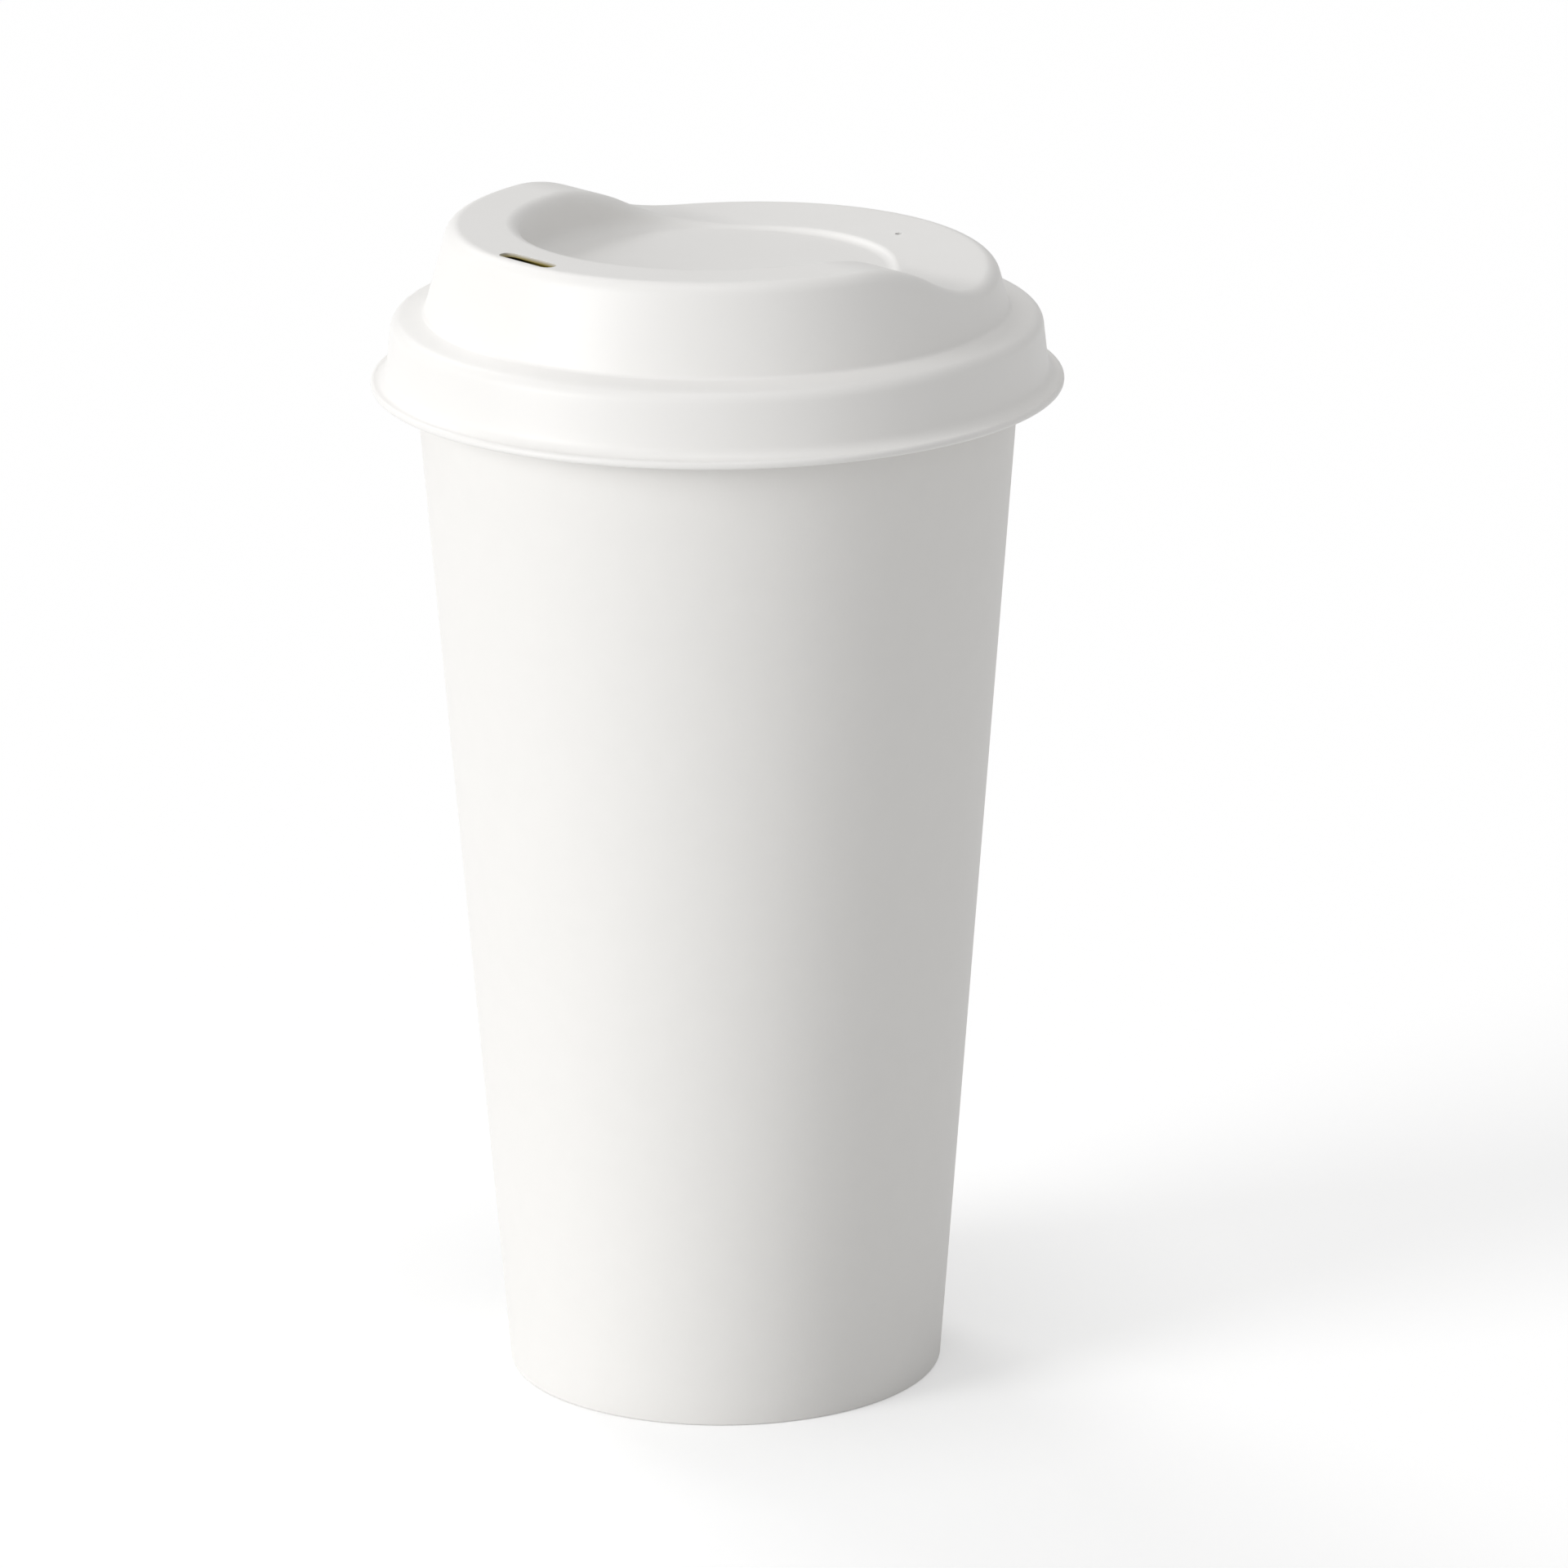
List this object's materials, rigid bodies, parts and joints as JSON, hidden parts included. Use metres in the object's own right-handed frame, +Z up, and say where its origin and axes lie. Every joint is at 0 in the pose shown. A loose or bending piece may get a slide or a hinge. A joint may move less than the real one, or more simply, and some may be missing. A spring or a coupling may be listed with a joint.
{
  "type": "paper coffee cup",
  "caption": "Tapered takeaway paper cup with a rolled rim and a folded foot, closed by a lift-off lid with a raised sip side, a drinking slot and a round recess.",
  "frame": {"origin": "centre of the foot ring, on the surface that the cup stands on", "axes": "+Z up the cup's axis; the lid's drinking slot is at -Y and the side seam of the cup at +Y"},
  "size_m": [0.097, 0.097, 0.1673],
  "materials": {
    "cup_board": "matte white coated board",
    "bottom_board": "matte white coated board",
    "lid_plastic": "matte white moulded sheet"
  },
  "bodies": {
    "cup": {"cup_sidewall": "cup_board", "cup_bottom": "bottom_board"},
    "lid": {"lid": "lid_plastic"}
  },
  "joints": [
    {"name": "lid_lift", "type": "slide", "parent": "cup", "child": "lid", "axis": [0, 0, 1], "range_m": [0, 0.06]}
  ]
}
